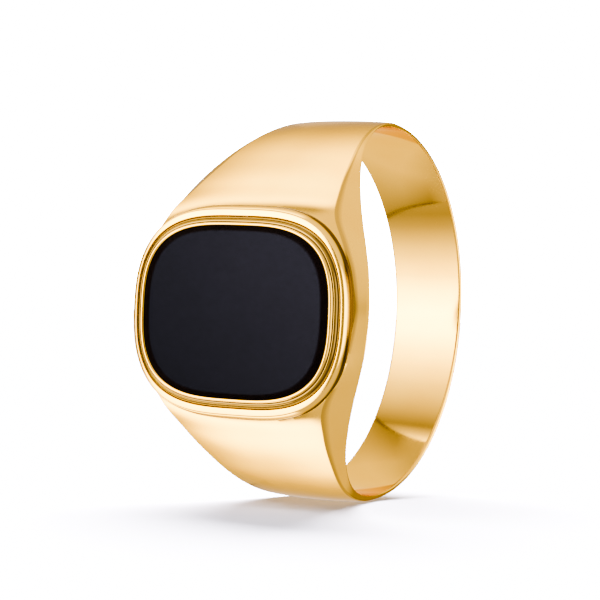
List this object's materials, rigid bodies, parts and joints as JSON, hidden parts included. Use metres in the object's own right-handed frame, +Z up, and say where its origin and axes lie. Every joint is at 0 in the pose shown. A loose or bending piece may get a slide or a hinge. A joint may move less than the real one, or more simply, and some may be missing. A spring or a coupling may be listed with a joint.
{
  "type": "signet ring",
  "caption": "Signet ring with a tapering gold band, a moulded bezel and a flat cushion-shaped black stone.",
  "frame": {"origin": "Centre of the finger hole, halfway along it.", "axes": "+X runs along the finger hole's axis, -Y points out of the stone's face, and +Z is up with the ring standing on its band."},
  "size_m": [0.0142, 0.0219, 0.0206],
  "materials": {
    "band_gold": "satin polished gold",
    "bezel_gold": "bright polished gold",
    "seat_gold": "unpolished gold",
    "cement": "matt",
    "onyx": "polished stone"
  },
  "bodies": {
    "root": {"shank": "band_gold", "bezel_collar": "bezel_gold", "bezel_rim": "bezel_gold", "seat_plate": "seat_gold", "stone_bed": "cement", "onyx_stone": "onyx"}
  },
  "joints": []
}
